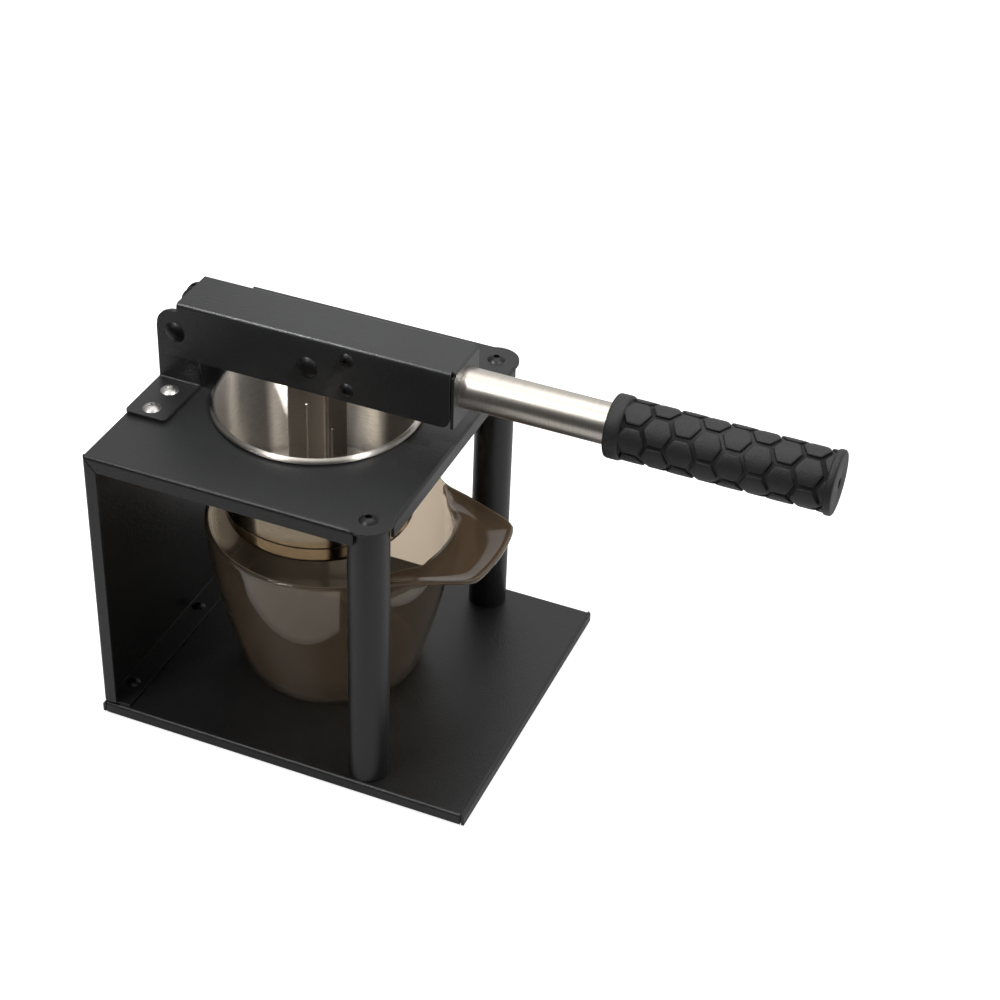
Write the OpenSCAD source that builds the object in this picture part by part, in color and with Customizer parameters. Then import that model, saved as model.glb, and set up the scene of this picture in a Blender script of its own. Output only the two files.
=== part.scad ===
// Manual citrus press: a folded steel frame on a tray, a lever that drives a
// round press plate down into a perforated cup, and a jug with a broad lip.
// Millimetres. Origin on the ground at the middle of the tray, +Z up. The
// lever runs along +X, and +Y is the back of the press.

/* [Sheet metal] */
// Thickness of the folded steel sheet
sheet = 1.5; // [1:0.1:1.6]
// Outer radius of every fold in the sheet
bend_r = 1.7; // [1.7:0.1:3]

/* [Tray] */
// Length of the tray along the lever
tray_l = 200; // [190:1:230]
// Width of the tray and of the frame
tray_w = 172.9; // [165:0.1:190]
// Depth of the lip folded down round the tray
tray_lip = 5.9; // [5:0.1:9]
// Open slit between two lips at a corner
corner_slit = 0.4; // [0.3:0.1:2]
// Height of the rubber feet below the lip
foot_stand = 1.5; // [1:0.1:4]
// Diameter of a rubber foot
foot_d = 14; // [10:1:18]
// Distance of a foot from the ends of the tray
foot_in_x = 24; // [20:1:34]
// Distance of a foot from the sides of the tray
foot_in_y = 16; // [12:1:24]

/* [Frame] */
// Height from the tray floor to the top of the plate
frame_h = 152.9; // [150:0.5:175]
// Length of the top plate, from the side panel to its free edge
plate_l = 154.6; // [150:0.1:165]
// Set-back of the side panel from the end of the tray
panel_in = 1; // [1:0.5:6]
// Depth of the lips round the top plate
plate_lip = 8; // [6:0.5:10]
// Width of the lips down the side panel
panel_lip = 7; // [5:0.5:8]
// Reach of the foot flange along the tray floor
flange_w = 14; // [12:0.5:18]
// Distance of the plate's lips from the axes of the posts
relief = 2.5; // [2:0.1:4]

/* [Posts] */
// Diameter of a post
post_d = 20; // [16:0.5:22]
// Distance of the post axis from the edges of the plate
post_in = 11.6; // [11.2:0.1:12.4]

/* [Screws] */
// Thread diameter of the post and bracket screws
screw_d = 5; // [4:0.5:6]
// Thread diameter of the flange and block screws
small_screw_d = 4; // [3:0.5:4.5]
// Length of thread in the posts
post_thread = 14; // [10:1:20]
// Radial clearance of a screw or pin in its hole
fit = 0.05; // [0.03:0.01:0.1]

/* [Lever] */
// Height of the pivot above the plate
pivot_h = 30.5; // [30:0.1:34]
// Distance of the pivot from the outside of the side panel
pivot_in = 11.3; // [11.2:0.1:14]
// Distance between the pivot and the press pin
arm = 71.3; // [66:0.1:72]
// Diameter of both pins
pin_d = 6; // [5:0.5:7]
// Outer width of the lever channel
channel_w = 29.9; // [27:0.1:31]
// Height of the lever channel
channel_h = 30.7; // [30:0.1:33]
// Distance of the channel top above the pivot
channel_rise = 16.7; // [15:0.1:17.5]
// Length of the channel from the pivot to the end flap
channel_reach = 146.7; // [138:0.1:150]
// Outer radius of the folds round the top of the channel
channel_bend_r = 2; // [1.8:0.1:3]
// Reach of the channel walls past the pivot
nose = 9.6; // [9.4:0.1:10]
// Height of the channel walls above the pivot, beside the brackets
nose_rise = 12; // [11.4:0.1:12.6]
// Gap between the lever walls and the bracket ears
side_gap = 0.4; // [0.3:0.05:0.8]

/* [Brackets] */
// Thickness of the pivot brackets
bracket_t = 2; // [1.5:0.1:2.4]
// Width of the pivot brackets
bracket_w = 22; // [20:0.2:22.2]
// Reach of the bracket flange from the middle of the lever
bracket_reach = 47.3; // [45:0.1:50]

/* [Handle] */
// Outer diameter of the handle tube
tube_d = 20; // [18:0.5:20.5]
// Wall of the handle tube
tube_wall = 1.5; // [1:0.1:2]
// Height of the tube axis above the pivot
tube_rise = 1.3; // [0:0.1:3]
// Length of the clamping block along the lever
block_l = 16; // [14:0.5:18]
// Distance of the block from the press pin
block_gap = 12.4; // [12.4:0.1:16]
// Distance between the two screws in one side of the block
block_pitch = 16.6; // [15.8:0.1:17.4]
// Distance of the middle of those screws below the tube axis
screw_drop = 0.4; // [0:0.1:1.6]
// Distance from the pivot to the start of the grip
grip_start = 219.5; // [205:0.1:240]
// Length of the grip
grip_l = 107.4; // [100:0.1:130]
// Radius of the grip over its pads
grip_r = 14.4; // [13.8:0.1:16]
// Radius of the grip collar and end flange
collar_r = 15.3; // [14.8:0.1:17]
// Depth of the grooves between the grip pads
groove_d = 1.2; // [0.6:0.1:1.4]
// Width of the grooves between the grip pads
groove_w = 2.2; // [1.4:0.1:2.6]
// Pitch of the grip pads along the grip
pad_pitch = 23.5; // [22:0.1:25]

/* [Press] */
// Size of the square stem along the lever
stem_x = 22.2; // [20:0.2:23]
// Size of the square stem across the lever
stem_y = 22.8; // [21:0.2:23]
// Thickness of the stem sheet
stem_t = 1; // [0.8:0.1:1.4]
// Radius of the press plate
press_r = 42.8; // [40:0.1:43.2]
// Distance of the press from the cup axis, towards the pivot
press_off = 0.6; // [0.4:0.1:1.2]
// Thickness of the press plate
press_t = 7.9; // [6:0.1:9]
// Gap between the press plate and the cup floor at rest
press_gap = 1; // [0.6:0.1:2]

/* [Cup] */
// Distance of the cup axis from the press pin, towards the pivot
cup_in = 2.1; // [0.5:0.1:2.6]
// Inner radius of the cup at its mouth
cup_top_r = 49.7; // [49.5:0.1:51]
// Inner radius of the cup at its floor
cup_floor_r = 47; // [46.8:0.1:48]
// Depth of the cup below the plate top
cup_depth = 62; // [58:0.5:62.4]
// Thickness of the cup wall
cup_t = 0.8; // [0.6:0.1:1.1]
// Radius of the rolled rim
roll_r = 1.5; // [1.3:0.1:1.8]
// Radius of the corner round the cup floor
cup_corner = 4; // [3:0.5:5]
// Diameter of a juice hole
hole_d = 4; // [2.5:0.5:4.5]
// Pitch of the juice holes
hole_pitch = 9; // [8:0.5:10]

/* [Jug] */
// Distance of the jug axis from the cup axis, towards the handle
jug_off = 6.2; // [4:0.2:9]
// Outer radius of the jug at its rim
jug_rim_r = 63.3; // [60:0.1:63.4]
// Outer radius of the jug at its base
jug_base_r = 45.3; // [40:0.1:50]
// Wall of the jug
jug_t = 2; // [1.6:0.1:2.6]
// Gap between the jug and the cup
jug_gap = 0.8; // [0.5:0.1:2]
// Fullness of the side of the jug
jug_curve = 1.65; // [1.3:0.05:2]
// Reach of the pouring lip from the jug axis
lip_reach = 90.3; // [88:0.1:96]
// Half the width of the nose of the pouring lip
lip_half = 28; // [24:0.5:34]
// Radius of the corners of the nose
lip_corner = 7; // [6:0.5:10]
// Half the width of the pouring lip where it leaves the rim
lip_root = 50.4; // [48:0.1:50.6]
// Depth of the dish in the pouring lip
dish = 3.2; // [2:0.1:5]

/* [Hidden] */
$fn = 64;

// Reach of a cut past the face that it opens, and overlap of joined forms
eps = 0.5;

// Levels
floor_z = foot_stand + tray_lip;
plate_z = floor_z + frame_h;
pivot_z = plate_z + pivot_h;

// Places along the lever
panel_x = -tray_l / 2 + panel_in;
plate_end = panel_x + plate_l;
pivot_x = panel_x + pivot_in;
press_x = pivot_x + arm;
cup_x = press_x - cup_in;
post_x = plate_end - post_in;
post_y = tray_w / 2 - post_in;

// Fasteners: head, socket and nut sizes follow the thread
function head_d(d) = 1.84 * d;
function head_h(d) = 0.4 * d;
function socket_af(d) = 0.6 * d;
function nut_af(d) = 1.6 * d;
function nut_h(d) = 0.8 * d;
socket_from = 0.3;
shank_in = 0.3;
thread_spare = 2;

flange_screw_in = 6.5;
flange_screw_end = 18;
flange_screw_x = panel_x + flange_screw_in;
flange_screw_ys = [for (i = [-1:1]) i * (tray_w / 2 - flange_screw_end)];
bracket_screw_ys = [22.9, 40.1];

// Rubber feet
foot_taper = 1;
foot_bevel = 0.8;

// Lever channel and brackets
channel_top = pivot_z + channel_rise;
channel_floor = channel_top - channel_h;
channel_end = pivot_x + channel_reach;
channel_corner = 4.5;
nose_corner = 9;
web_x = pivot_x + 1.7;
ear_y = channel_w / 2 - sheet - side_gap;
bracket_corner = 2.5;
pin_head_rim = 2.4;
pin_head_d = pin_d + 2 * pin_head_rim;
pin_head_h = 2.2;
flap_slit = 0.5;
flap_notch = 2.6;
channel_right = channel_end - sheet - flap_slit;
miter_slit = 0.5;

// Handle
tube_z = pivot_z + tube_rise;
block_x = press_x + block_gap;
block_w = channel_w - 2 * sheet - side_gap;
block_play = 0.2;
block_h = 2 * (channel_rise - sheet - tube_rise - block_play);
block_screw_x = block_x + block_l / 2;
block_screw_z = tube_z - screw_drop;
block_screw_l = 5;
grip_x = pivot_x + grip_start;
grip_end_wall = 5;
vent_d = 5;
collar_l = 7.6;
collar_edge = 2.2;
end_flange_l = 3.6;
end_edge = 1.4;
tube_end = grip_x + grip_l - grip_end_wall;
pads_round = 6;
pad_rows = 4;
pad_first = 12.2;
pad_turn = 11;

// Cup and press
cup_floor_z = plate_z - cup_depth;
press_z = cup_floor_z + cup_t + press_gap;
stem_foot_z = press_z + press_t;
stem_x0 = cup_x - press_off;
stem_r = 2;
stem_open = 8;
plate_screw_d = 6;
plate_head_d = 11;
plate_head_h = 3.3;
plate_socket_h = 2;
bead_foot = 6;
bead_drops = [24.9, 38.9];
side_bead_y = -6.8;
rib_w = 3;
rib_d = 0.7;
hole_fit = 0.35;
hole_rings = 4;
hole_turn = 7;
roll_gap = 0.1;
roll_in = 0.15;
ring_z = 10;
ring_r = 0.4;
ring_in = 0.1;

// Jug
jug_stand = 0.3;
jug_z = floor_z + jug_stand;
jug_h = cup_floor_z - jug_gap - jug_z;
jug_x = cup_x + jug_off;
jug_floor_t = 2.6;
jug_floor_edge = 1;
jug_ring = 2.4;
jug_ring_h = 1.2;
jug_steps = 14;
jug_spread = 1.2;
lip_root_x = 32;
lip_bow = 0.8;
lip_edge = 2.4;
lip_under = 2;
lip_taper = 16;
lip_slice = 0.2;
lip_draft = 0.6;

// Outline of a fold: the flat ends at x = 0 with its top at y = 0, and the
// wall goes down to y = -depth with its outer face at x = radius
module fold(depth, radius = bend_r, thick = sheet) {
  intersection() {
    translate([0, -radius]) difference() {
      circle(r = radius);
      circle(r = radius - thick);
    }
    translate([0, -radius]) square(radius);
  }
  translate([radius - thick, -depth]) square([thick, depth - radius]);
}

// Profiles drawn as (x, z) and run along Y, or drawn as (y, z) and run along X
module along_y(length) {
  rotate([90, 0, 0]) linear_extrude(length, center = true) children();
}
module along_x(from, to) {
  translate([from, 0, 0]) rotate([90, 0, 90]) linear_extrude(to - from) children();
}

// A lip folded down along the +X edge of a sheet: its outer face at x = 0, the
// top of the sheet at z = 0
module lip(length, depth, radius = bend_r) {
  along_y(length) translate([-radius, 0]) fold(depth, radius);
}

// Rectangle with round corners, from its lowest corner
module round_rect(size, r) {
  translate([r, 0]) square([size[0] - 2 * r, size[1]]);
  translate([0, r]) square([size[0], size[1] - 2 * r]);
  for (x = [r, size[0] - r], y = [r, size[1] - r]) translate([x, y]) circle(r = r);
}

// Low round head, standing on z = 0
module dome(d, h) {
  ball = (d * d / 4 + h * h) / (2 * h);
  intersection() {
    translate([0, 0, h - ball]) sphere(r = ball, $fn = 96);
    cylinder(d = d, h = h);
  }
}

// Socket button-head screw, its head above z = 0 and its shank below
module button_screw(d, length) {
  difference() {
    dome(head_d(d), head_h(d));
    translate([0, 0, head_h(d) * socket_from])
      cylinder(d = socket_af(d) / cos(30), h = head_h(d), $fn = 6);
  }
  translate([0, 0, -length]) cylinder(d = d, h = length + head_h(d) * shank_in);
}

// Hexagon nut, standing on z = 0
module nut(d) {
  difference() {
    cylinder(d = nut_af(d) / cos(30), h = nut_h(d), $fn = 6);
    translate([0, 0, -eps]) cylinder(r = d / 2 + fit, h = nut_h(d) + 2 * eps);
  }
}

// Riveted pin across the lever, with a low dome on each side
module cross_pin(x) {
  reach = channel_w / 2;
  translate([x, 0, pivot_z]) rotate([90, 0, 0]) {
    translate([0, 0, -reach]) cylinder(d = pin_d, h = 2 * reach);
    for (side = [0, 1]) mirror([0, 0, side]) translate([0, 0, reach]) dome(pin_head_d, pin_head_h);
  }
}

// Holes down through the sheets where the frame is screwed together
module post_holes() {
  for (side = [-1, 1]) translate([post_x, side * post_y]) circle(r = screw_d / 2 + fit);
}
module flange_holes() {
  for (y = flange_screw_ys) translate([flange_screw_x, y]) circle(r = small_screw_d / 2 + fit);
}
module bracket_holes() {
  for (side = [-1, 1], y = bracket_screw_ys) translate([pivot_x, side * y])
    circle(r = screw_d / 2 + fit);
}

module base_tray() {
  side_lip = tray_l - 2 * (bend_r + corner_slit);
  color("#26282a") {
    translate([0, 0, floor_z - sheet]) linear_extrude(sheet) difference() {
      square([tray_l - 2 * bend_r, tray_w - 2 * bend_r], center = true);
      post_holes();
      flange_holes();
    }
    // The end lips run the full width, and the side lips stop short of them
    for (turn = [0, 180]) rotate(turn) {
      translate([tray_l / 2, 0, floor_z]) lip(tray_w, tray_lip);
      translate([0, tray_w / 2, floor_z]) rotate(90) lip(side_lip, tray_lip);
    }
  }
}

module rubber_feet() {
  foot_x = tray_l / 2 - foot_in_x;
  foot_y = tray_w / 2 - foot_in_y;
  foot_h = floor_z - sheet;
  low_r = foot_d / 2 - foot_taper;
  color("#1b1b1b") for (sx = [-1, 1], sy = [-1, 1]) translate([sx * foot_x, sy * foot_y, 0])
    rotate_extrude() polygon([[0, 0], [low_r - foot_bevel, 0], [low_r, foot_bevel],
      [foot_d / 2, foot_h], [0, foot_h]]);
}

// Top plate seen from above, with round corners about the posts
module plate_outline() {
  flat_half = tray_w / 2 - bend_r;
  difference() {
    union() {
      translate([panel_x + bend_r, -flat_half])
        square([post_x - panel_x - bend_r, 2 * flat_half]);
      translate([post_x - eps, -post_y]) square([plate_end - bend_r - post_x + eps, 2 * post_y]);
      for (side = [-1, 1]) translate([post_x, side * post_y]) circle(r = post_in);
    }
    translate([cup_x, 0]) circle(r = cup_top_r + cup_t + hole_fit, $fn = 128);
    post_holes();
    bracket_holes();
  }
}

// Where the lips of the plate and the panel meet: the side of the mitre below
// it (-1) or above it (1), with half of the slit
module miter_side(side) {
  miter = sqrt(pow(panel_lip, 2) + pow(plate_lip, 2));
  along_y(tray_w + 2 * eps) translate([panel_x, plate_z]) rotate(-atan2(plate_lip, panel_lip))
    translate([-miter, side < 0 ? -2 * miter : -miter_slit / 2])
      square([3 * miter, 2 * miter + miter_slit / 2]);
}

module frame_shell() {
  half = tray_w / 2;
  flat_w = tray_w - 2 * bend_r;
  lip_l = post_x - relief - panel_x;
  color("#2a2c2e") {
    difference() {
      union() {
        translate([0, 0, plate_z - sheet]) linear_extrude(sheet) plate_outline();
        // Side panel, folded down from the plate and in again along the tray
        translate([panel_x, 0, plate_z]) rotate(180) lip(flat_w, frame_h - bend_r);
        along_y(flat_w) translate([panel_x, floor_z + bend_r]) mirror([1, 1]) fold(flange_w);
      }
      translate([0, 0, floor_z - eps]) linear_extrude(sheet + 2 * eps) flange_holes();
    }
    // Lips down both sides and the free end of the plate
    difference() {
      for (turn = [-90, 90]) translate([panel_x + lip_l / 2, sign(turn) * half, plate_z])
        rotate(turn) lip(lip_l, plate_lip);
      miter_side(-1);
    }
    translate([plate_end, 0, plate_z]) lip(2 * (post_y - relief), plate_lip);
    // Lips down the front and back edges of the panel
    difference() {
      for (side = [0, 1]) mirror([0, side, 0]) translate([panel_x, bend_r - half, floor_z + bend_r])
        linear_extrude(frame_h - bend_r) mirror([1, 1]) fold(panel_lip);
      miter_side(1);
    }
  }
}

// Solid round post, tapped at both ends
module post(side) {
  color("#2a2c2e") translate([post_x, side * post_y, floor_z]) difference() {
    cylinder(d = post_d, h = frame_h - sheet);
    for (z = [-eps, frame_h - sheet - post_thread]) translate([0, 0, z])
      cylinder(r = screw_d / 2 + fit, h = post_thread + eps);
  }
}
module front_post() { post(-1); }
module back_post() { post(1); }

module post_top_screws() {
  color("#1f2021") for (side = [-1, 1]) translate([post_x, side * post_y, plate_z])
    button_screw(screw_d, sheet + post_thread - thread_spare);
}
module post_bottom_screws() {
  color("#1f2021") for (side = [-1, 1]) translate([post_x, side * post_y, floor_z - sheet])
    rotate([180, 0, 0]) button_screw(screw_d, sheet + post_thread - thread_spare);
}

module flange_screws() {
  color("#1f2021") for (y = flange_screw_ys) translate([flange_screw_x, y, floor_z + sheet])
    button_screw(small_screw_d, 2 * sheet + nut_h(small_screw_d));
}
module flange_nuts() {
  color("#8c8e90") for (y = flange_screw_ys)
    translate([flange_screw_x, y, floor_z - sheet - nut_h(small_screw_d)]) nut(small_screw_d);
}

// Folded bracket beside the lever: an ear with a round top about the pivot,
// and a flange on the plate
module pivot_bracket(side) {
  fold_r = bracket_t + 0.8;
  inner_y = ear_y - bracket_t;
  flange_y = inner_y + fold_r;
  color("#232527") mirror([0, side < 0 ? 1 : 0, 0]) {
    difference() {
      union() {
        along_x(pivot_x - bracket_w / 2, pivot_x + bracket_w / 2)
          translate([flange_y, plate_z]) rotate(180) fold(fold_r + eps, fold_r, bracket_t);
        translate([0, ear_y, 0]) rotate([90, 0, 0]) linear_extrude(bracket_t) {
          translate([pivot_x - bracket_w / 2, plate_z + fold_r])
            square([bracket_w, pivot_h - fold_r]);
          translate([pivot_x, pivot_z]) circle(d = bracket_w);
        }
        translate([pivot_x - bracket_w / 2, flange_y - eps, plate_z]) linear_extrude(bracket_t)
          difference() {
            round_rect([bracket_w, bracket_reach - flange_y + eps], bracket_corner);
            translate([-eps, -eps]) square([bracket_w + 2 * eps, eps]);
          }
        translate([pivot_x - bracket_w / 2, flange_y, plate_z])
          cube([bracket_w, 2 * bracket_corner, bracket_t]);
      }
      translate([0, 0, plate_z - eps]) linear_extrude(bracket_t + 2 * eps) bracket_holes();
      translate([pivot_x, ear_y + eps, pivot_z]) rotate([90, 0, 0])
        cylinder(r = pin_d / 2 + fit, h = bracket_t + 2 * eps);
    }
  }
}
module front_pivot_bracket() { pivot_bracket(-1); }
module back_pivot_bracket() { pivot_bracket(1); }

module bracket_screws() {
  color("#c9cbcc") for (side = [-1, 1], y = bracket_screw_ys)
    translate([pivot_x, side * y, plate_z + bracket_t])
      button_screw(screw_d, bracket_t + sheet + nut_h(screw_d));
}
module bracket_nuts() {
  color("#8c8e90") for (side = [-1, 1], y = bracket_screw_ys)
    translate([pivot_x, side * y, plate_z - sheet - nut_h(screw_d)]) nut(screw_d);
}

// Side of the lever channel: round over the pivot at the top left, square
// below it, and round at the lower right
module channel_side() {
  left = pivot_x - nose;
  round_x = left + nose_corner;
  round_z = pivot_z + nose_rise - nose_corner;
  difference() {
    union() {
      translate([round_x, round_z]) circle(r = nose_corner);
      translate([left, channel_floor]) square([channel_right - left, round_z - channel_floor]);
      translate([round_x, round_z]) square([web_x - round_x, nose_corner]);
      translate([web_x, channel_floor]) square([channel_right - web_x, channel_h - channel_bend_r]);
    }
    translate([channel_right - channel_corner, channel_floor]) difference() {
      translate([0, -eps]) square([channel_corner + eps, channel_corner + eps]);
      translate([0, channel_corner]) circle(r = channel_corner);
    }
    for (x = [pivot_x, press_x]) translate([x, pivot_z]) circle(r = pin_d / 2 + fit);
    block_holes();
  }
}
module block_holes() {
  for (side = [-1, 1]) translate([block_screw_x, block_screw_z + side * block_pitch / 2])
    circle(r = small_screw_d / 2 + fit);
}

module lever_channel() {
  side_fold = channel_w / 2 - channel_bend_r;
  flap_w = channel_w - flap_slit;
  color("#2b2d2f") difference() {
    union() {
      for (side = [0, 1]) mirror([0, side, 0]) {
        translate([0, -channel_w / 2 + sheet, 0]) rotate([90, 0, 0])
          linear_extrude(sheet) channel_side();
        along_x(web_x, channel_right) translate([side_fold, channel_top])
          fold(channel_bend_r + eps, channel_bend_r);
      }
      translate([web_x, -side_fold, channel_top - sheet])
        cube([channel_end - channel_bend_r - web_x, 2 * side_fold, sheet]);
      // End flap round the tube: narrow at its fold, then as wide as the channel
      translate([channel_end, 0, channel_top])
        lip(2 * side_fold - flap_slit, channel_h, channel_bend_r);
      translate([channel_end - sheet, -flap_w / 2, channel_floor])
        cube([sheet, flap_w, channel_h - flap_notch]);
    }
    translate([channel_end - 2 * sheet, 0, tube_z]) rotate([0, 90, 0])
      cylinder(r = tube_d / 2 + fit, h = 4 * sheet);
  }
}

module pivot_pin() { color("#1f2021") cross_pin(pivot_x); }
module press_pin() { color("#1f2021") cross_pin(press_x); }

// Block between the lever walls that holds the handle tube
module handle_block() {
  color("#3a3c3e") difference() {
    translate([block_x, -block_w / 2, tube_z - block_h / 2]) cube([block_l, block_w, block_h]);
    translate([block_x - eps, 0, tube_z]) rotate([0, 90, 0])
      cylinder(r = tube_d / 2 + fit, h = block_l + 2 * eps);
    rotate([90, 0, 0]) linear_extrude(block_w + 2 * eps, center = true) block_holes();
  }
}
module block_screws() {
  color("#1f2021") for (side = [-1, 1], row = [-1, 1])
    translate([block_screw_x, side * channel_w / 2, block_screw_z + row * block_pitch / 2])
      rotate([-side * 90, 0, 0]) button_screw(small_screw_d, block_screw_l);
}

module handle_tube() {
  length = tube_end - block_x;
  color("#c2bdb4") translate([block_x, 0, tube_z]) rotate([0, 90, 0]) difference() {
    cylinder(d = tube_d, h = length);
    translate([0, 0, -eps]) cylinder(d = tube_d - 2 * tube_wall, h = length + 2 * eps);
  }
}

// One six-sided pad of the grip, its points along the grip, facing -Y
module grip_pad() {
  along = pad_pitch / 3;
  across = grip_r * sin(180 / pads_round);
  shrink = 1 - groove_w / 2 / across;
  rotate([90, 0, 0]) linear_extrude(grip_r + eps) scale(shrink)
    polygon([for (i = [0:5]) [along * cos(60 * i), across * sin(60 * i) / sin(60)]]);
}

module handle_grip() {
  core_r = grip_r - groove_d;
  color("#1d1e1f") translate([grip_x, 0, tube_z]) {
    difference() {
      rotate([0, 90, 0]) rotate_extrude($fn = 96) {
        square([core_r, grip_l]);
        round_rect([collar_r, collar_l], collar_edge);
        translate([0, grip_l - end_flange_l]) round_rect([collar_r, end_flange_l], end_edge);
      }
      rotate([0, 90, 0]) translate([0, 0, -eps])
        cylinder(r = tube_d / 2 + fit, h = grip_l - grip_end_wall + eps);
      rotate([0, 90, 0]) cylinder(d = vent_d, h = grip_l + eps);
    }
    intersection() {
      rotate([0, 90, 0]) translate([0, 0, collar_l]) difference() {
        cylinder(r = grip_r, h = grip_l - collar_l - end_flange_l, $fn = 96);
        translate([0, 0, -eps]) cylinder(r = core_r - eps, h = grip_l, $fn = 96);
      }
      for (row = [0:pad_rows - 1], odd = [0, 1], turn = [0:pads_round - 1])
        translate([pad_first + (row + odd / 2) * pad_pitch, 0, 0])
          rotate([-pad_turn - (turn + (1 - odd) / 2) * 360 / pads_round, 0, 0]) grip_pad();
    }
  }
}

// Square stem folded from sheet: two ears turn on the press pin, and the
// closed foot stands on the press plate
module press_stem() {
  ear_top = pivot_z - stem_foot_z;
  color("#b9b4aa") translate([stem_x0, 0, stem_foot_z]) difference() {
    union() {
      difference() {
        linear_extrude(ear_top) translate([-stem_x / 2, -stem_y / 2]) round_rect([stem_x, stem_y], stem_r);
        translate([0, 0, stem_t]) linear_extrude(ear_top)
          translate([stem_t - stem_x / 2, stem_t - stem_y / 2])
            round_rect([stem_x - 2 * stem_t, stem_y - 2 * stem_t], stem_r - stem_t);
        // The walls across the lever stop below the pin
        translate([-stem_x / 2 - eps, -stem_y / 2 + stem_r, ear_top - stem_open])
          cube([stem_x + 2 * eps, stem_y - 2 * stem_r, stem_open + eps]);
      }
      for (side = [-1, 1]) translate([0, side * (stem_y - stem_t) / 2, ear_top])
        rotate([90, 0, 0]) cylinder(r = stem_x / 2, h = stem_t, center = true);
      // Pressed beads that stiffen the front and the handle side
      bead(-90, stem_y / 2, 0, ear_top - bead_drops[0]);
      bead(0, stem_x / 2, side_bead_y, ear_top - bead_drops[1]);
    }
    translate([press_x - stem_x0, 0, ear_top]) rotate([90, 0, 0])
      cylinder(r = pin_d / 2 + fit, h = stem_y + 2, center = true);
    translate([0, 0, -eps]) cylinder(r = plate_screw_d / 2 + fit, h = stem_t + 2 * eps);
  }
}
module bead(turn, face, offset, top) {
  rotate(turn) translate([face - rib_w / 2 + rib_d, offset, 0]) {
    translate([0, 0, bead_foot]) cylinder(d = rib_w, h = top - bead_foot);
    translate([0, 0, top]) sphere(d = rib_w);
    translate([0, 0, bead_foot]) sphere(d = rib_w);
  }
}

module press_plate() {
  edge = 1.8;
  color("#b9b4aa") translate([stem_x0, 0, press_z]) difference() {
    rotate_extrude($fn = 128) {
      square([press_r - edge, press_t]);
      translate([0, edge]) square([press_r, press_t - 2 * edge]);
      for (z = [edge, press_t - edge]) translate([press_r - edge, z]) circle(r = edge);
    }
    translate([0, 0, -eps]) cylinder(r = plate_screw_d / 2 + fit, h = press_t + 2 * eps);
    translate([0, 0, -eps]) cylinder(d = plate_head_d + 4 * fit, h = plate_head_h + fit + eps);
  }
}
module press_screw() {
  length = press_t + stem_t + nut_h(plate_screw_d);
  color("#c9cbcc") translate([stem_x0, 0, press_z]) difference() {
    union() {
      cylinder(d = plate_head_d, h = plate_head_h);
      cylinder(d = plate_screw_d, h = length);
    }
    translate([0, 0, -eps]) cylinder(d = socket_af(plate_screw_d) / cos(30), h = plate_socket_h + eps, $fn = 6);
  }
}
module press_nut() {
  color("#8c8e90") translate([stem_x0, 0, stem_foot_z + stem_t]) nut(plate_screw_d);
}

// Tapered cup hung by its rolled rim, with juice holes in its floor
module strainer_cup() {
  depth = plate_z - cup_floor_z;
  outer_r = cup_floor_r + cup_t;
  side = atan2(cup_top_r - cup_floor_r, depth);
  color("#cdc8be") translate([cup_x, 0, cup_floor_z]) difference() {
    union() {
      rotate_extrude($fn = 128) difference() {
        union() {
          polygon([[0, 0], [outer_r - cup_corner, 0], [outer_r, cup_corner],
            [cup_top_r + cup_t, depth + roll_r], [0, depth + roll_r]]);
          translate([outer_r - cup_corner, cup_corner]) circle(r = cup_corner);
        }
        polygon([[-eps, cup_t], [outer_r - cup_corner, cup_t], [cup_floor_r, cup_corner],
          [cup_top_r, depth + roll_r], [cup_top_r, depth + roll_r + eps],
          [-eps, depth + roll_r + eps]]);
        translate([outer_r - cup_corner, cup_corner]) circle(r = cup_corner - cup_t);
        translate([-tray_l, -eps]) square([tray_l, depth + 3 * roll_r]);
      }
      translate([0, 0, depth + roll_r + roll_gap]) rotate_extrude($fn = 128)
        translate([cup_top_r - roll_in + roll_r, 0]) circle(r = roll_r, $fn = 32);
      // Fine bead round the outside above the floor
      translate([0, 0, ring_z]) rotate_extrude($fn = 128)
        translate([outer_r + ring_z * tan(side) - ring_in, 0]) circle(r = ring_r, $fn = 16);
    }
    translate([0, 0, -eps]) {
      cylinder(d = hole_d, h = 3 * cup_t, $fn = 24);
      for (ring = [1:hole_rings], i = [0:6 * ring - 1])
        rotate(60 * i / ring + hole_turn * ring) translate([ring * hole_pitch, 0])
          cylinder(d = hole_d, h = 3 * cup_t, $fn = 24);
    }
  }
}

// Side of the jug: its outer radius at a height above the foot
function jug_r(h) =
  jug_rim_r - (jug_rim_r - jug_base_r) * pow(max(0, 1 - h / jug_h), jug_curve);

// Outline of the pouring lip from above, from inside the rim to its nose,
// drawn in from the edge by the inset and tapered lower down
module lip_outline(inset, taper = 0) {
  nose_x = lip_reach - lip_bow - lip_corner - taper;
  nose_y = lip_half - lip_corner - taper / 2;
  root_y = lip_root - lip_corner - taper / 6;
  spots = [[lip_root_x, root_y], [nose_x, nose_y], [nose_x + lip_bow, 0], [nose_x, -nose_y],
    [lip_root_x, -root_y]];
  hull() for (spot = spots) translate(spot) circle(r = lip_corner - inset, $fn = 32);
}

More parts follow.
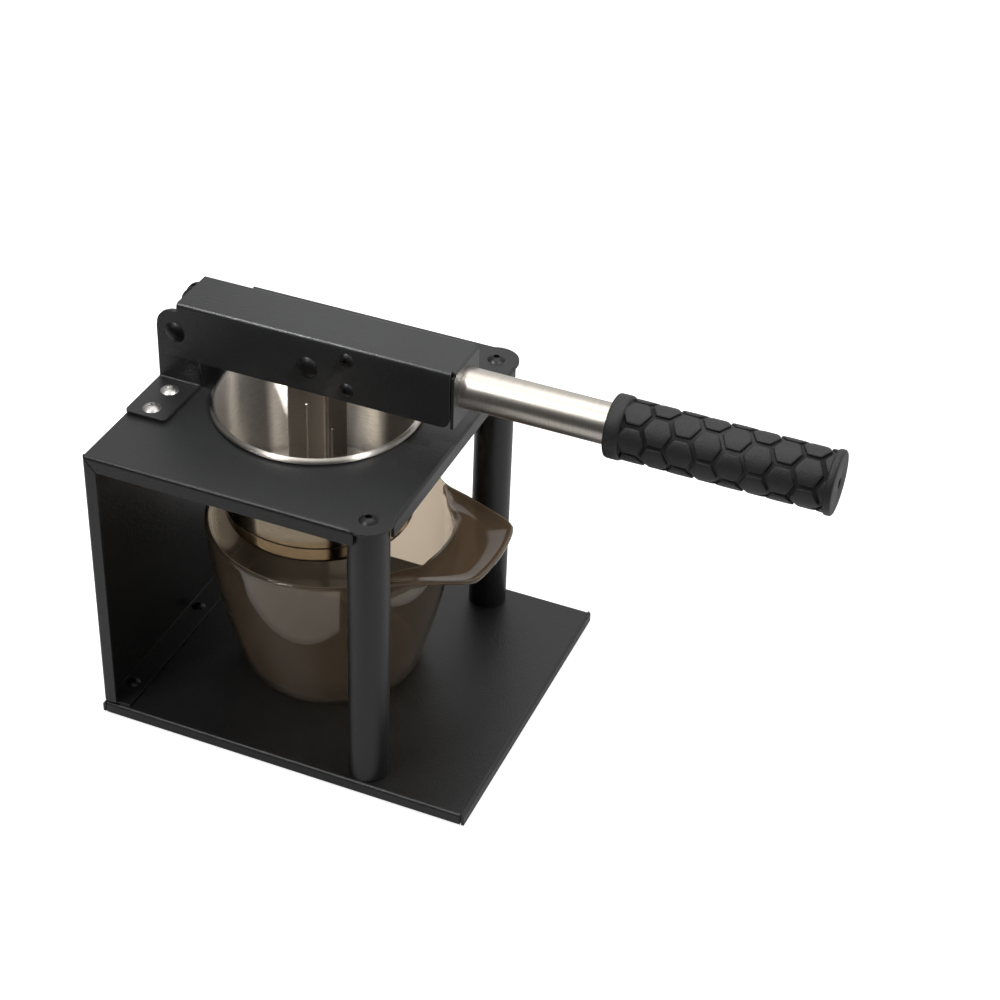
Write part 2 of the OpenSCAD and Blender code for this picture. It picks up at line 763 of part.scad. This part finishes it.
module juice_jug() {
  heights = [for (i = [0:jug_steps]) jug_h * pow(i / jug_steps, jug_spread)];
  inner = [for (h = heights) if (h > jug_floor_t) [jug_r(h) - jug_t, h]];
  color("#5a4a3e") translate([jug_x, 0, jug_z]) difference() {
    union() {
      rotate_extrude($fn = 96) polygon(concat([[0, 0]],
        [for (h = heights) [jug_r(h), h]], [[0, jug_h]]));
      // The broad lip stands out from the rim all the way to its nose
      hull() {
        translate([0, 0, jug_h - lip_edge]) linear_extrude(lip_edge) lip_outline(0);
        translate([0, 0, jug_h - jug_t - dish - lip_under]) linear_extrude(lip_slice)
          lip_outline(lip_draft, lip_taper);
      }
    }
    rotate_extrude($fn = 96) polygon(concat([[0, jug_floor_t],
      [inner[0][0] - jug_floor_edge, jug_floor_t]], inner,
      [[jug_rim_r - jug_t, jug_h + eps], [0, jug_h + eps]]));
    // The dish runs from the inside of the rim into the lip
    hull() {
      translate([0, 0, jug_h]) linear_extrude(eps) lip_outline(jug_t);
      translate([0, 0, jug_h - dish]) linear_extrude(lip_slice)
        lip_outline(jug_t + lip_draft, lip_taper);
    }
    // Hollow under the foot ring
    translate([0, 0, -eps])
      cylinder(r = jug_base_r - jug_ring, h = jug_ring_h + eps, $fn = 96);
  }
}

base_tray();
rubber_feet();
frame_shell();
front_post();
back_post();
post_top_screws();
post_bottom_screws();
flange_screws();
flange_nuts();
front_pivot_bracket();
back_pivot_bracket();
bracket_screws();
bracket_nuts();
lever_channel();
pivot_pin();
press_pin();
handle_block();
block_screws();
handle_tube();
handle_grip();
press_stem();
press_plate();
press_screw();
press_nut();
strainer_cup();
juice_jug();
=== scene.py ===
import math

import bmesh
import bpy
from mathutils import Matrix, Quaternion, Vector


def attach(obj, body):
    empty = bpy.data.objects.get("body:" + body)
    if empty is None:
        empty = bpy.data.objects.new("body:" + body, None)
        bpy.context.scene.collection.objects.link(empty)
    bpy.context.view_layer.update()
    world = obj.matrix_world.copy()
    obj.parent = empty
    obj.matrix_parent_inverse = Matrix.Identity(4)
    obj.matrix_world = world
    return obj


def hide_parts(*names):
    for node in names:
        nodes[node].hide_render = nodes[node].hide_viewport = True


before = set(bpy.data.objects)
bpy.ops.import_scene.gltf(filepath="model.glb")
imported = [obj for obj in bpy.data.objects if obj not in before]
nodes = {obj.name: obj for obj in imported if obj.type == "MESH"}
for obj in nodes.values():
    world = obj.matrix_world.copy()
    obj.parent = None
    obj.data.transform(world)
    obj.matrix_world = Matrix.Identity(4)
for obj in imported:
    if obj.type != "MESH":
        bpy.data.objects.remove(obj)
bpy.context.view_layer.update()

# Camera
# The photograph was taken from the front right and above, with a long lens
# that points at the plane of the lever, just under the bare tube.
MM = 0.001
aim = Vector((80.35, -0.65, 132.1)) * MM
distance = 1056.3 * MM
azimuth = math.radians(21.11)
elevation = math.radians(36.17)
roll = math.radians(2.48)
sight = Vector((-math.sin(azimuth) * math.cos(elevation),
                math.cos(azimuth) * math.cos(elevation),
                -math.sin(elevation)))
camera_data = bpy.data.cameras.new("camera")
camera_data.sensor_width = 36
camera_data.lens = 79.17
camera_data.shift_x = -0.0036
camera_data.shift_y = 0.0029
camera_data.clip_end = 20
camera = bpy.data.objects.new("camera", camera_data)
camera.location = aim - sight * distance
camera.rotation_mode = "QUATERNION"
camera.rotation_quaternion = sight.to_track_quat("-Z", "Y") @ Quaternion((0, 0, 1), roll)
bpy.context.scene.collection.objects.link(camera)
bpy.context.scene.camera = camera

# Studio
# A white table in a white room, bright behind, above and at the right, and dim
# in front. A wide lamp above and two strips at the front left model the black
# coat, and two narrow spots light the inside of the cup.
bpy.context.scene.view_settings.view_transform = "Standard"


def new_material(name):
    """A node material with a Principled shader on its output."""
    material = bpy.data.materials.new(name)
    material.use_nodes = True
    tree = material.node_tree
    tree.nodes.clear()
    output = tree.nodes.new("ShaderNodeOutputMaterial")
    shader = tree.nodes.new("ShaderNodeBsdfPrincipled")
    tree.links.new(shader.outputs["BSDF"], output.inputs["Surface"])
    return material, tree, shader


def seen_as_white(tree, plain, white):
    """Mixes a shader with a white one for rays from the eye and through plastic."""
    path = tree.nodes.new("ShaderNodeLightPath")
    seen = tree.nodes.new("ShaderNodeMath")
    seen.operation = "MAXIMUM"
    tree.links.new(path.outputs["Is Camera Ray"], seen.inputs[0])
    tree.links.new(path.outputs["Is Transmission Ray"], seen.inputs[1])
    mix = tree.nodes.new("ShaderNodeMixShader")
    tree.links.new(seen.outputs[0], mix.inputs[0])
    tree.links.new(plain.outputs[0], mix.inputs[1])
    tree.links.new(white.outputs[0], mix.inputs[2])
    return mix


def add_table():
    """The white table top; its front edge is close before the press."""
    size = 6
    front_edge = -0.36
    bpy.ops.mesh.primitive_plane_add(size=size, location=(0, front_edge + size / 2, 0))
    table = bpy.context.object
    table.name = "table_top"
    material, tree, shader = new_material("white_table")
    shader.inputs["Base Color"].default_value = (0.66, 0.66, 0.66, 1)
    shader.inputs["Roughness"].default_value = 0.9
    shader.inputs["Specular IOR Level"].default_value = 0.1
    glow = tree.nodes.new("ShaderNodeEmission")
    glow.inputs["Strength"].default_value = 0.78
    lit = tree.nodes.new("ShaderNodeAddShader")
    tree.links.new(shader.outputs[0], lit.inputs[0])
    tree.links.new(glow.outputs[0], lit.inputs[1])
    mix = seen_as_white(tree, shader, lit)
    output = next(n for n in tree.nodes if n.type == "OUTPUT_MATERIAL")
    tree.links.new(mix.outputs[0], output.inputs["Surface"])
    table.data.materials.append(material)


def add_room():
    """The room as the world: white where it is seen, else dim in front and bright behind."""
    bright_side = (0.22, 0.62, 0.75)
    world = bpy.data.worlds.new("white_room")
    bpy.context.scene.world = world
    world.use_nodes = True
    tree = world.node_tree
    tree.nodes.clear()
    place = tree.nodes.new("ShaderNodeTexCoord")
    toward = tree.nodes.new("ShaderNodeVectorMath")
    toward.operation = "DOT_PRODUCT"
    toward.inputs[1].default_value = bright_side
    tree.links.new(place.outputs["Generated"], toward.inputs[0])
    level = tree.nodes.new("ShaderNodeMapRange")
    level.interpolation_type = "SMOOTHSTEP"
    level.inputs["From Min"].default_value = -0.35
    level.inputs["From Max"].default_value = 0.75
    level.inputs["To Min"].default_value = 0.05
    level.inputs["To Max"].default_value = 0.8
    tree.links.new(toward.outputs["Value"], level.inputs["Value"])
    plain = tree.nodes.new("ShaderNodeBackground")
    tree.links.new(level.outputs["Result"], plain.inputs["Strength"])
    white = tree.nodes.new("ShaderNodeBackground")
    for shade in (plain, white):
        shade.inputs["Color"].default_value = (1, 1, 1, 1)
    mix = seen_as_white(tree, plain, white)
    output = tree.nodes.new("ShaderNodeOutputWorld")
    tree.links.new(mix.outputs[0], output.inputs["Surface"])


def hang(lamp, place, target):
    """Hangs a lamp at a place and turns it to a target."""
    holder = bpy.data.objects.new(lamp.name, lamp)
    holder.location = place
    holder.rotation_euler = (Vector(target) - Vector(place)).to_track_quat("-Z", "Y").to_euler()
    bpy.context.scene.collection.objects.link(holder)


def add_softbox(name, place, target, width, height, power):
    """A rectangular lamp; its power is in watts."""
    lamp = bpy.data.lights.new(name, "AREA")
    lamp.shape = "RECTANGLE"
    lamp.size = width
    lamp.size_y = height
    lamp.energy = power
    hang(lamp, place, target)


def add_spot(name, place, target, spread, power):
    """A narrow soft lamp; its spread is in degrees and its power in watts."""
    lamp = bpy.data.lights.new(name, "SPOT")
    lamp.spot_size = math.radians(spread)
    lamp.spot_blend = 0.5
    lamp.shadow_soft_size = 0.04
    lamp.energy = power
    hang(lamp, place, target)


add_table()
add_room()
left_stand = (-0.42, -0.48, 1.2)
add_softbox("lamp_above", place=(0.1, 0.35, 1.4), target=(0, 0, 0.1),
            width=1.0, height=1.0, power=6)
add_softbox("strip_left", place=left_stand, target=(-0.01, 0.03, 0.14),
            width=0.12, height=0.5, power=3)
add_softbox("strip_front", place=(-0.36, -0.75, 1.1), target=(0, 0, 0.16),
            width=0.08, height=0.5, power=3.5)
add_spot("spot_right", place=(0.8, -0.2, 1.05), target=(-0.045, 0.03, 0.14),
         spread=6.5, power=170)
add_spot("spot_left", place=left_stand, target=(-0.012, 0.045, 0.14),
         spread=6.5, power=45)


def noise(tree, place, scale, detail):
    """A cloudy pattern over a surface, so many clouds to the metre."""
    pattern = tree.nodes.new("ShaderNodeTexNoise")
    pattern.inputs["Scale"].default_value = scale
    pattern.inputs["Detail"].default_value = detail
    tree.links.new(place, pattern.inputs["Vector"])
    return pattern.outputs["Fac"]


def tint(tree, shader, pattern, colour, darker, lighter, margin):
    """Lets a colour run from a darker to a lighter tone along a pattern."""
    tone = tree.nodes.new("ShaderNodeValToRGB")
    stops = tone.color_ramp.elements
    for stop, at, share in zip(stops, (margin, 1 - margin), (darker, lighter)):
        stop.position = at
        stop.color = (*(min(1, c * share) for c in colour), 1)
    tree.links.new(pattern, tone.inputs["Fac"])
    tree.links.new(tone.outputs["Color"], shader.inputs["Base Color"])


def vary_gloss(tree, shader, pattern, low, high):
    """Lets the roughness run from low to high along a pattern."""
    gloss = tree.nodes.new("ShaderNodeMapRange")
    gloss.inputs["To Min"].default_value = low
    gloss.inputs["To Max"].default_value = high
    tree.links.new(pattern, gloss.inputs["Value"])
    tree.links.new(gloss.outputs["Result"], shader.inputs["Roughness"])


def emboss(tree, shader, pattern, depth):
    """Raises a pattern by a depth in metres and returns the node that does it."""
    bump = tree.nodes.new("ShaderNodeBump")
    bump.inputs["Strength"].default_value = 1
    bump.inputs["Distance"].default_value = depth
    tree.links.new(pattern, bump.inputs["Height"])
    tree.links.new(bump.outputs["Normal"], shader.inputs["Normal"])
    return bump


def coat_material(name, colour, rough, grain, depth, edge):
    """Black coat or rubber; the grain's size and depth and the edge's radius are in metres."""
    material, tree, shader = new_material(name)
    place = tree.nodes.new("ShaderNodeTexCoord").outputs["Object"]
    fine = noise(tree, place, scale=1 / grain, detail=3)
    broad = noise(tree, place, scale=22, detail=4)
    tint(tree, shader, broad, colour, darker=0.86, lighter=1.14, margin=0.3)
    vary_gloss(tree, shader, fine, low=rough - 0.05, high=rough + 0.05)
    bump = emboss(tree, shader, fine, depth)
    soft_edge = tree.nodes.new("ShaderNodeBevel")
    soft_edge.samples = 4
    soft_edge.inputs["Radius"].default_value = edge
    tree.links.new(soft_edge.outputs["Normal"], bump.inputs["Normal"])
    return material


def finish(node, material):
    """Gives a carried-over solid its material."""
    solid = nodes[node]
    solid.data.materials.clear()
    solid.data.materials.append(material)


powder_coat = coat_material("powder_coat", (0.0085, 0.0087, 0.009), rough=0.37,
                            grain=0.0009, depth=0.00014, edge=0.0006)
for name in ("base_tray", "frame_shell", "front_pivot_bracket", "back_pivot_bracket",
             "lever_channel"):
    finish(name, powder_coat)

# Posts
# Two lengths of round steel bar, turned, tapped at both ends for the screws
# that hold them between the tray and the top plate, and coated like the sheet.
for name in ("front_post", "back_post"):
    finish(name, powder_coat)

# Screws, nuts and pins
# Button screws with hex sockets: black ones in the frame and the lever, bright
# ones in the brackets, with plain nuts behind. The pins are black rivets.


def metal_material(name, colour, rough, finer=(1, 1, 1), scale=900, depth=0.000004, spin=None):
    """Metal with a fine grain, so many times finer along each axis, or spun about one."""
    material, tree, shader = new_material(name)
    shader.inputs["Metallic"].default_value = 1
    place = tree.nodes.new("ShaderNodeTexCoord")
    drawn = tree.nodes.new("ShaderNodeMapping")
    drawn.inputs["Scale"].default_value = finer
    tree.links.new(place.outputs["Object"], drawn.inputs["Vector"])
    grain = noise(tree, drawn.outputs["Vector"], scale, detail=3)
    tint(tree, shader, grain, colour, darker=0.9, lighter=1.06, margin=0.35)
    vary_gloss(tree, shader, grain, low=rough * 0.9, high=rough * 1.1)
    emboss(tree, shader, grain, depth)
    if spin:
        turned = tree.nodes.new("ShaderNodeTangent")
        turned.direction_type = "RADIAL"
        turned.axis = spin
        tree.links.new(turned.outputs["Tangent"], shader.inputs["Tangent"])
        shader.inputs["Anisotropic"].default_value = 1
        shader.inputs["Anisotropic Rotation"].default_value = 0.25
    return material


black_steel = metal_material("black_steel", (0.035, 0.035, 0.037), rough=0.4)
bright_zinc = metal_material("bright_zinc", (0.44, 0.43, 0.41), rough=0.4)
plain_zinc = metal_material("plain_zinc", (0.5, 0.5, 0.5), rough=0.4)
for name in ("post_top_screws", "post_bottom_screws", "flange_screws", "block_screws",
             "pivot_pin", "press_pin"):
    finish(name, black_steel)
for name in ("bracket_screws", "press_screw"):
    finish(name, bright_zinc)
for name in ("flange_nuts", "bracket_nuts", "press_nut"):
    finish(name, plain_zinc)

# Handle tube and block
# Stainless tube, brushed round its girth, clamped in a black steel block that
# hides between the walls of the channel.
tube_steel = metal_material("tube_steel", (0.6, 0.56, 0.5), rough=0.33, finer=(14, 0.6, 0.6),
                            scale=220, depth=0.0000006)
finish("handle_tube", tube_steel)
finish("handle_block", black_steel)

# Grip
# One moulding of black rubber pushed over the tube: a collar, rings of raised
# six-sided pads with soft edges, and an end flange with a vent hole. Its
# lengths are in millimetres, along the grip and out from its axis.
GRIP_START = 131.8
GRIP_HEIGHT = 192.1
GRIP_LENGTH = 107.4
COLLAR_END = 7.8
FLANGE_BACK = 103.7
SWELL = 15.3
CORE = 13.2
BORE = 10.05
BORE_END = 102.5
VENT = 2.5
VENT_END = 103
NEAR_AXIS = 0.01
GRIP_STEPS = 72
END_EDGE = [
    (GRIP_LENGTH, SWELL - 1.4), (GRIP_LENGTH - 0.1, SWELL - 0.6), (GRIP_LENGTH - 0.6, SWELL - 0.1),
    (GRIP_LENGTH - 1.2, SWELL)]
FLANGE_EDGE = [
    (FLANGE_BACK + 1.1, SWELL), (FLANGE_BACK + 0.5, SWELL - 0.15), (FLANGE_BACK + 0.1, SWELL - 0.7),
    (FLANGE_BACK, CORE)]
COLLAR_EDGE = [
    (COLLAR_END, CORE), (COLLAR_END - 0.2, SWELL - 1.1), (COLLAR_END - 0.6, SWELL - 0.3),
    (COLLAR_END - 1.5, SWELL)]
START_EDGE = [(1.2, SWELL), (0.4, SWELL - 0.3), (0, SWELL - 1)]
VENT_EDGE = [(GRIP_LENGTH - 0.5, VENT), (GRIP_LENGTH - 0.2, VENT + 0.1), (GRIP_LENGTH, VENT + 0.4)]
GRIP_PROFILE = [
    (VENT_END, NEAR_AXIS), (VENT_END, VENT), *VENT_EDGE, *END_EDGE, *FLANGE_EDGE, *COLLAR_EDGE,
    *START_EDGE, (0, BORE), (BORE_END, BORE), (BORE_END, NEAR_AXIS)]

# The pads: where the first ring lies, how far apart every second ring is, how
# far the first pad is turned up from the front, and the shape of one pad.
PAD_FIRST = 13.0
PAD_PITCH = 23.5
PAD_TURN = 11
PADS_ROUND = 6
PAD_ROWS = 9
PAD_REACH = 6.7
PAD_SIDE = 6.0
PAD_MEAN = 6.2
PAD_SOFTNESS = 0.2
PAD_EDGE_STEPS = 5
PAD_TUCK = 0.6
PAD_RINGS = [
    (1, -0.4), (1, 0.75), (0.985, 1.02), (0.95, 1.18), (0.88, 1.26), (0.6, 1.32), (0.25, 1.34)]
WELD = 0.00004


def on_grip(along, around, radius):
    """A point at a place along the grip, an angle up from the front and a radius."""
    return Vector((GRIP_START + along,
                   -radius * math.cos(around),
                   GRIP_HEIGHT + radius * math.sin(around))) * MM


def pad_outline():
    """Points along and across a pad, drawn towards a circle to soften its corners."""
    half = PAD_REACH / 2
    corners = [(PAD_REACH, 0), (half, PAD_SIDE), (-half, PAD_SIDE),
               (-PAD_REACH, 0), (-half, -PAD_SIDE), (half, -PAD_SIDE)]
    outline = []
    for (x0, y0), (x1, y1) in zip(corners, corners[1:] + corners[:1]):
        for k in range(PAD_EDGE_STEPS):
            x = x0 + (x1 - x0) * k / PAD_EDGE_STEPS
            y = y0 + (y1 - y0) * k / PAD_EDGE_STEPS
            ease = 1 + PAD_SOFTNESS * (PAD_MEAN / math.hypot(x, y) - 1)
            outline.append((x * ease, y * ease))
    return outline


def add_pad(skin, middle, centre):
    """One pad as rings of a share of its outline at a height above the core."""
    rings = []
    for share, height in PAD_RINGS:
        ring = []
        for x, y in pad_outline():
            along = max(COLLAR_END - PAD_TUCK, middle + x * share)
            along = min(FLANGE_BACK + PAD_TUCK, along)
            ring.append(skin.verts.new(on_grip(along, centre + y * share / CORE, CORE + height)))
        rings.append(ring)
    for low, high in zip(rings, rings[1:]):
        for a in range(len(low)):
            b = (a + 1) % len(low)
            skin.faces.new((low[a], low[b], high[b], high[a]))
    skin.faces.new(rings[-1])
    skin.faces.new(rings[0][::-1])


def close_skin(name, skin, material):
    """Turns a bmesh into a smooth object with its material."""
    bmesh.ops.remove_doubles(skin, verts=skin.verts, dist=WELD)
    bmesh.ops.recalc_face_normals(skin, faces=skin.faces)
    for face in skin.faces:
        face.smooth = True
    mesh = bpy.data.meshes.new(name)
    skin.to_mesh(mesh)
    skin.free()
    mesh.materials.append(material)
    piece = bpy.data.objects.new(name, mesh)
    bpy.context.scene.collection.objects.link(piece)
    return piece


def sweep_sections(skin, sections):
    """Adds a closed skin through sections that go once round an axis."""
    rings = [[skin.verts.new(point) for point in section] for section in sections]
    for near, far in zip(rings, rings[1:] + rings[:1]):
        for k in range(len(near) - 1):
            skin.faces.new((near[k], far[k], far[k + 1], near[k + 1]))


grip_rubber = coat_material("grip_rubber", (0.016, 0.016, 0.0165), rough=0.52,
                            grain=0.0006, depth=0.00022, edge=0.0005)
grip_skin = bmesh.new()
sweep_sections(grip_skin, [[on_grip(along, 2 * math.pi * k / GRIP_STEPS, radius)
                            for along, radius in GRIP_PROFILE] for k in range(GRIP_STEPS)])
for row in range(PAD_ROWS):
    half_step = (row % 2) / 2
    for k in range(PADS_ROUND):
        add_pad(grip_skin, middle=PAD_FIRST + row / 2 * PAD_PITCH,
                centre=math.radians(PAD_TURN + (k + half_step) * 360 / PADS_ROUND))
grip = close_skin("grip_shell", grip_skin, grip_rubber)
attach(grip, "lever")
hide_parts("handle_grip")

# Press
# A square stem, folded of thin stainless sheet with pressed beads, hangs on
# the press pin. A round stainless plate is screwed to its foot.
press_steel = metal_material("press_steel", (0.6, 0.55, 0.5), rough=0.25, finer=(1, 1, 12),
                             scale=260)
plate_steel = metal_material("plate_steel", (0.62, 0.59, 0.55), rough=0.3)
finish("press_stem", press_steel)
finish("press_plate", plate_steel)

# Cup
# Drawn from thin stainless sheet, bright outside and satin inside. It hangs in
# the top plate by its rolled rim. Painted light and dark bands in its colour
# stand for the highlights and reflections that such bright steel mirrors, and a
# brown tint painted into the outside stands for the jug it mirrors.
CUP_AXIS = -0.0185
CUP_RIM = 0.01
OUTWARD = 0.0005
cup = nodes["strainer_cup"]
cup_top = max(corner[2] for corner in cup.bound_box)


def paint_reflection_bands(material, axis_x, bands):
    """Paints highlights and reflections into the colour as bands round an axis: each band has a
    place from 0 to 1 of the turn and a level.
    """
    tree = material.node_tree
    shader = next(n for n in tree.nodes if n.type == "BSDF_PRINCIPLED")
    tone = shader.inputs["Base Color"].links[0].from_socket
    place = tree.nodes.new("ShaderNodeTexCoord")
    centred = tree.nodes.new("ShaderNodeMapping")
    centred.inputs["Location"].default_value = (-axis_x, 0, 0)
    tree.links.new(place.outputs["Object"], centred.inputs["Vector"])
    around = tree.nodes.new("ShaderNodeTexGradient")
    around.gradient_type = "RADIAL"
    tree.links.new(centred.outputs["Vector"], around.inputs["Vector"])
    ramp = tree.nodes.new("ShaderNodeValToRGB")
    ramp.color_ramp.interpolation = "EASE"
    while len(ramp.color_ramp.elements) < len(bands):
        ramp.color_ramp.elements.new(1)
    for stop, (at, grey) in zip(ramp.color_ramp.elements, bands):
        stop.position = at
        stop.color = (grey, grey, grey, 1)
    tree.links.new(around.outputs["Fac"], ramp.inputs["Fac"])
    mix = tree.nodes.new("ShaderNodeMix")
    mix.data_type = "RGBA"
    mix.blend_type = "MULTIPLY"
    mix.inputs["Factor"].default_value = 1
    tree.links.new(tone, mix.inputs["A"])
    tree.links.new(ramp.outputs["Color"], mix.inputs["B"])
    tree.links.new(mix.outputs["Result"], shader.inputs["Base Color"])


def on_outside(face):
    """Whether a face of the cup looks away from its axis and lies below the rim."""
    outward = (face.center.x - CUP_AXIS) * face.normal.x + face.center.y * face.normal.y
    return outward > OUTWARD and face.center.z < cup_top - CUP_RIM


cup_inside = metal_material("cup_inside", (0.93, 0.87, 0.79), rough=0.4, finer=(1, 1, 6),
                            scale=260, spin="Z")
# Painted highlights: bright bands where lamps mirror in the satin inside, darker bands between.
paint_reflection_bands(cup_inside, CUP_AXIS, [
    (0, 0.5), (0.18, 0.35), (0.28, 0.9), (0.36, 0.4), (0.5, 0.8), (0.56, 0.35), (0.69, 0.28),
    (0.714, 1), (0.734, 1), (0.765, 0.4), (0.83, 0.35), (0.85, 1), (0.9, 1), (0.92, 0.25),
    (1, 0.5)])
# The outside's colour is darkened and warmed towards brown: a painted reflection of the brown jug
# round it.
cup_outside = metal_material("cup_outside", (0.5, 0.41, 0.29), rough=0.16, finer=(1, 1, 6),
                             scale=260)
# Painted reflections: bright bands for mirrored lamps and dark stripes for the dark parts the
# outside mirrors.
paint_reflection_bands(cup_outside, CUP_AXIS, [
    (0, 0.6), (0.16, 0.35), (0.188, 1), (0.206, 1), (0.225, 0.6), (0.33, 0.62), (0.344, 0.2),
    (0.358, 0.2), (0.375, 0.6), (0.5, 0.9), (0.62, 0.5), (0.8, 1), (1, 0.6)])
finish("strainer_cup", cup_inside)
cup.data.materials.append(cup_outside)
for face in cup.data.polygons:
    if on_outside(face):
        face.material_index = 1

# Jug
# Moulded from clear smoky brown plastic, glossy inside and out: a full belly on
# a foot ring, and a broad shallow pouring lip, less clear, that grows out of
# the rim. Its lengths are in millimetres, out from its axis and up from its foot.
JUG_AXIS = -12.3
JUG_BASE = 7.7
JUG_HEIGHT = 89.8
RIM = 63.3
FOOT = 45.3
WALL = 2.0
BELLY_CURVE = 1.65
FOOT_HOLLOW = 1.2
FLOOR = 2.6
FLOOR_EDGE = 5.6
JUG_STEPS = 168
OUTER_STEPS = 24
TOP_STEPS = 12
INNER_STEPS = 20

# The lip's outline: a bowed nose between two straight sides.
LIP_NOSE = 92.2
LIP_SPREAD = math.radians(66)
NOSE_BOW = 3.8
NOSE_HALF = 0.31
SIDE_REACH = 65.3
SIDE_SLOPE = 0.445
CORNER_SOFT = 1.6
ROOT_SOFT = 0.8

# The lip's section: how far it rises and dips, and over what growth of the rim.
LIP_RISE = 3.0
RISE_RUN = 6
LIP_DEPTH = 3.0
DISH_RUN = 9
FLARE_DROP = 12
FLARE_RUN = 10
FLARE_CURVE = 1.8
SHOULDER = 2.6
SHOULDER_WAVE = 32
SHOULDER_LAST = 28
SHOULDER_DROP = 8
EDGE_DROP = 2.0
EDGE_DIP = 0.25
INNER_DIP = 0.35

# The faces that count as lip: right of its back, not far below the rim, and
# where the rim has grown.
LIP_BACK = 25
LIP_BELOW = 7
LIP_INSET = 2.8
LIP_GROWN = 0.6


def soft_min(a, b, width):
    """The smaller of two lengths, blended over a width."""
    return -width * math.log(math.exp(-a / width) + math.exp(-b / width))


def rim_reach(turn):
    """Distance of the rim's outer edge from the jug's axis, at an angle from the lip."""
    turn = abs(turn)
    if turn > LIP_SPREAD:
        return RIM
    nose = (LIP_NOSE - NOSE_BOW * (math.tan(turn) / NOSE_HALF) ** 2) / math.cos(turn)
    side = SIDE_REACH / (math.sin(turn) + SIDE_SLOPE * math.cos(turn))
    return -soft_min(-RIM, -soft_min(nose, side, CORNER_SOFT), ROOT_SOFT)


def belly(height):
    """Outer radius of the jug at a height above its foot."""
    return RIM - (RIM - FOOT) * max(0, 1 - height / JUG_HEIGHT) ** BELLY_CURVE


def outer_wall(rim, grown):
    """Up the belly and out under the lip, to the edge of the rim."""
    wall = []
    for step in range(1, OUTER_STEPS + 1):
        height = (rim - EDGE_DROP) * (step / OUTER_STEPS) ** 1.1
        flare = max(0, (height - rim + FLARE_DROP) / FLARE_RUN) ** FLARE_CURVE
        wall.append((belly(min(height, JUG_HEIGHT)) + grown * flare, height))
    return wall


def lip_top(reach, rim, dish, shoulder):
    """From the rim's rounded edge in over the dished lip to the inner wall."""
    top = [(reach - 0.1, rim - 0.7), (reach - 0.6, rim - 0.1), (reach - 1.2, rim)]
    inner = RIM - WALL - shoulder
    for step in range(1, TOP_STEPS + 1):
        part = step / TOP_STEPS
        depth = EDGE_DIP + dish * (1 - (1 - part) ** 3) * (1 - 0.5 * part ** 3)
        top.append(((reach - 1.8) * (1 - part) + inner * part, rim - depth - INNER_DIP * part))
    return top


def inner_wall(top, shoulder):
    """Down the inside, from the shoulder under the lip to the rounded edge of the floor."""
    wall = []
    for step in range(1, INNER_STEPS + 1):
        part = step / INNER_STEPS
        height = (top - 0.8) * (1 - part) + FLOOR_EDGE * part
        bulge = shoulder * max(0, 1 - (top - height) / SHOULDER_DROP) ** 2
        wall.append((belly(min(height, JUG_HEIGHT)) - WALL - bulge, height))
    return wall


def jug_section(turn):
    """The wall's section at an angle, from under the foot over the rim to the inner floor."""
    reach = rim_reach(turn)
    grown = max(0, reach - RIM)
    dish = LIP_DEPTH * min(1, grown / DISH_RUN)
    rim = JUG_HEIGHT + LIP_RISE * (1 - math.exp(-grown / RISE_RUN))
    shoulder = SHOULDER * math.sin(2 * math.pi * min(grown, SHOULDER_LAST) / SHOULDER_WAVE)
    top = rim - EDGE_DIP - INNER_DIP - dish * 0.5
    low = belly(3) - WALL
    foot_ring = [(NEAR_AXIS, FOOT_HOLLOW), (FOOT - 4, FOOT_HOLLOW), (FOOT - 2.6, FOOT_HOLLOW - 0.2),
                 (FOOT - 2.3, 0.3), (FOOT - 1.6, 0), (FOOT - 0.7, 0)]
    inner_floor = [(low - 0.6, FLOOR + 1.3), (low - 2, FLOOR + 0.3), (low - 4, FLOOR),
                   (NEAR_AXIS, FLOOR)]
    return (foot_ring + outer_wall(rim, grown) + lip_top(reach, rim, dish, shoulder)
            + inner_wall(top, shoulder) + inner_floor)


def on_jug(turn, out, up):
    """A point at an angle from the lip, a distance from the axis and a height over the foot."""
    return Vector((JUG_AXIS + out * math.cos(turn), out * math.sin(turn), JUG_BASE + up)) * MM


def on_lip(place):
    """Whether a place on the jug's skin belongs to the pouring lip."""
    x = place.x / MM - JUG_AXIS
    y = place.y / MM
    up = place.z / MM - JUG_BASE - JUG_HEIGHT
    if x < LIP_BACK or up < -LIP_BELOW or math.hypot(x, y) < RIM - WALL - LIP_INSET:
        return False
    return rim_reach(math.atan2(y, x)) > RIM + LIP_GROWN


def plastic(name, colour, rough, clear):
    """Glossy tinted plastic: colour, roughness and how much light it lets through."""
    material, tree, shader = new_material(name)
    shader.inputs["Base Color"].default_value = (*colour, 1)
    shader.inputs["Roughness"].default_value = rough
    shader.inputs["IOR"].default_value = 1.06
    shader.inputs["Transmission Weight"].default_value = clear
    shader.inputs["Coat Weight"].default_value = 1
    shader.inputs["Coat Roughness"].default_value = 0.06
    return material


jug_plastic = plastic("jug_plastic", (0.47, 0.39, 0.3), rough=0.05, clear=0.93)
lip_plastic = plastic("lip_plastic", (0.155, 0.105, 0.065), rough=0.2, clear=0.3)
jug_sections = []
for k in range(JUG_STEPS):
    turn = 2 * math.pi * k / JUG_STEPS
    from_lip = turn if turn < math.pi else turn - 2 * math.pi
    jug_sections.append([on_jug(turn, out, up) for out, up in jug_section(from_lip)])
jug_skin = bmesh.new()
sweep_sections(jug_skin, jug_sections)
jug = close_skin("jug_shell", jug_skin, jug_plastic)
jug.data.materials.append(lip_plastic)
for face in jug.data.polygons:
    if on_lip(face.center):
        face.material_index = 1
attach(jug, "jug")
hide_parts("juice_jug")

# Feet
# Four feet of soft black rubber, moulded like the grip and stuck under the
# corners of the tray.
finish("rubber_feet", grip_rubber)
